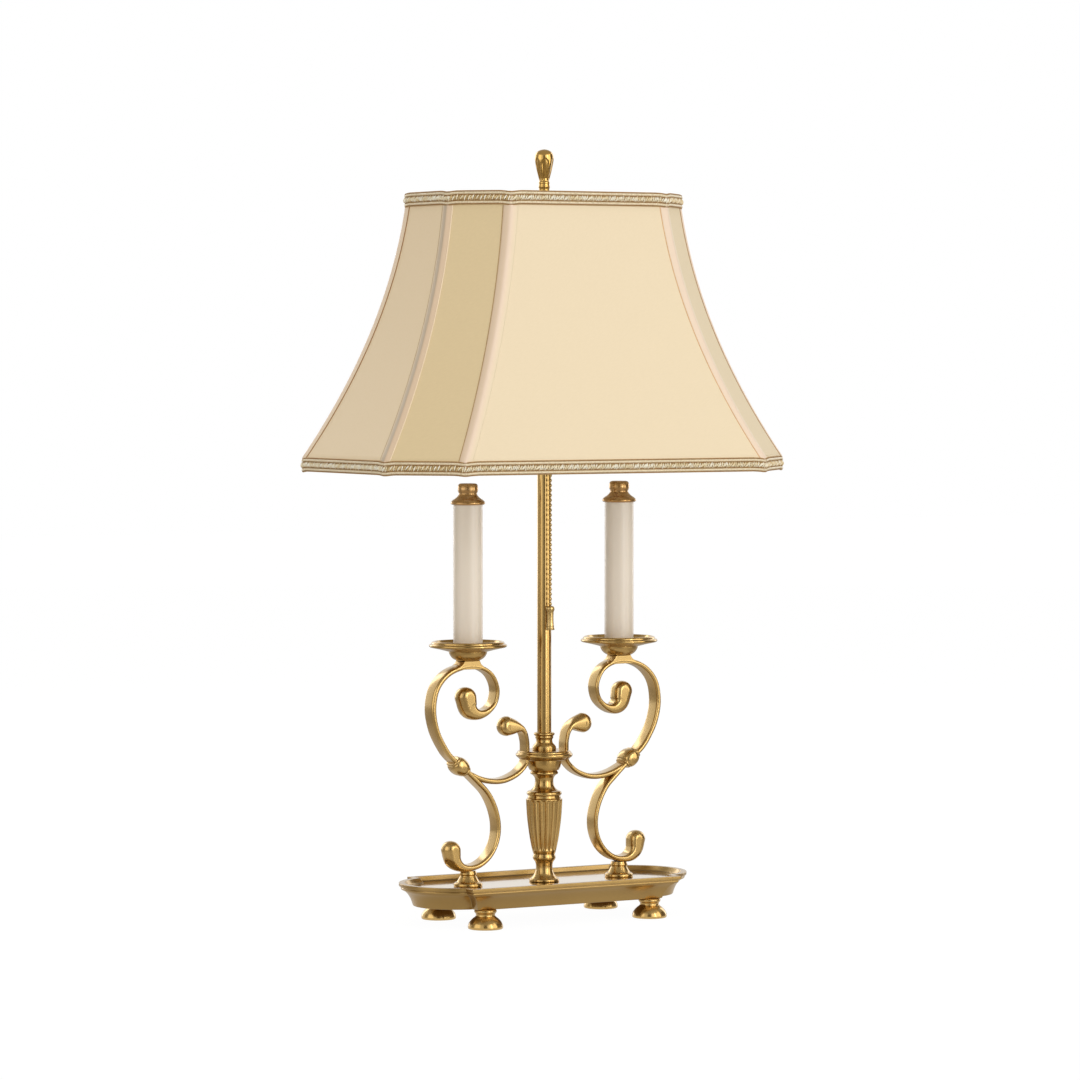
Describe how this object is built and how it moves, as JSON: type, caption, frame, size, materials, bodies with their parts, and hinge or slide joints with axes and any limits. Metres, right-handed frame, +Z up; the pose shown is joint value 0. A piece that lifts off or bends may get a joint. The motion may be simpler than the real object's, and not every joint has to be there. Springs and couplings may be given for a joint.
{
  "type": "bouillotte lamp",
  "caption": "Brass table lamp with a footed tray, fluted column, scrolled arms with dummy candles and a bell shade that swivels over a pull-chain light.",
  "frame": {"origin": "centre of the tray's plan, on the table that the four feet stand on", "axes": "+Z up; +X along the tray, towards the right candle; -Y towards the front, where the pull chain hangs"},
  "size_m": [0.4092, 0.2582, 0.686],
  "materials": {
    "brass": "satin",
    "dark_brass": "satin",
    "steel": "satin",
    "candle": "gloss",
    "silk": "matte",
    "braid": "satin",
    "bulb_glass": "satin",
    "bulb_base": "satin",
    "plastic": "matte"
  },
  "bodies": {
    "lamp": {"tray": "brass", "bottom_plate": "dark_brass", "cord_bushing": "plastic", "foot_front_left": "brass", "foot_front_right": "brass", "foot_back_left": "brass", "foot_back_right": "brass", "screws": "steel", "column_base": "brass", "column_vase": "brass", "column_neck": "brass", "hub_bowl": "brass", "hub_disc": "brass", "stem_collar": "brass", "stem_tube": "brass", "threaded_pipe": "steel", "pipe_nut": "steel", "pipe_washer": "steel", "left_lower_scroll": "brass", "right_lower_scroll": "brass", "left_upper_scroll": "brass", "right_upper_scroll": "brass", "left_knot": "brass", "right_knot": "brass", "left_pedestal": "brass", "right_pedestal": "brass", "left_cup": "brass", "right_cup": "brass", "left_drip_pan": "brass", "right_drip_pan": "brass", "left_candle": "candle", "right_candle": "candle", "left_candle_cap": "brass", "right_candle_cap": "brass", "candle_rods": "steel", "cluster_body": "brass", "cluster_cover": "brass", "left_socket_arm": "brass", "right_socket_arm": "brass", "left_socket_cap": "brass", "right_socket_cap": "brass", "left_socket_shell": "brass", "right_socket_shell": "brass", "switch_bracket": "steel", "switch_axle": "steel", "chain_guide": "brass", "shade_riser": "brass"},
    "shade": {"shade_frame": "steel", "shade_cover": "silk", "shade_trim": "braid", "shade_spider": "steel"},
    "finial": {"finial": "brass"},
    "left_bulb": {"left_bulb_base": "bulb_base", "left_bulb_glass": "bulb_glass"},
    "right_bulb": {"right_bulb_base": "bulb_base", "right_bulb_glass": "bulb_glass"},
    "switch_chain": {"switch_chain": "brass"},
    "pull_chain": {"pull_chain": "brass", "chain_pendant": "brass"},
    "switch_drum": {"switch_drum": "plastic"}
  },
  "joints": [
    {"name": "shade_swivel", "type": "hinge", "parent": "lamp", "child": "shade", "pos_m": [0, 0, 0.6434], "axis": [0, 0, 1], "continuous": true},
    {"name": "finial_turn", "type": "hinge", "parent": "lamp", "child": "finial", "pos_m": [0, 0, 0.6458], "axis": [0, 0, 1], "continuous": true},
    {"name": "left_bulb_turn", "type": "hinge", "parent": "lamp", "child": "left_bulb", "pos_m": [-0.04, 0, 0.489], "axis": [0, 0, 1], "continuous": true},
    {"name": "right_bulb_turn", "type": "hinge", "parent": "lamp", "child": "right_bulb", "pos_m": [0.04, 0, 0.489], "axis": [0, 0, 1], "continuous": true},
    {"name": "chain_pull", "type": "slide", "parent": "lamp", "child": "switch_chain", "axis": [0, 0, -1], "range_m": [0, 0.008], "stiffness_N_per_m": 200, "springref_m": -0.002},
    {"name": "drum_turn", "type": "hinge", "parent": "lamp", "child": "switch_drum", "pos_m": [0, -0.0162, 0.449], "axis": [-1, 0, 0], "range_deg": [0, 82.5]},
    {"name": "chain_swing", "type": "hinge", "parent": "switch_chain", "child": "pull_chain", "pos_m": [0, -0.0106, 0.427], "axis": [0, 1, 0], "range_deg": [-12, 12]}
  ],
  "couplings": [
    {"joint": "drum_turn", "follows": "chain_pull", "rad_per_m": 178.57}
  ]
}
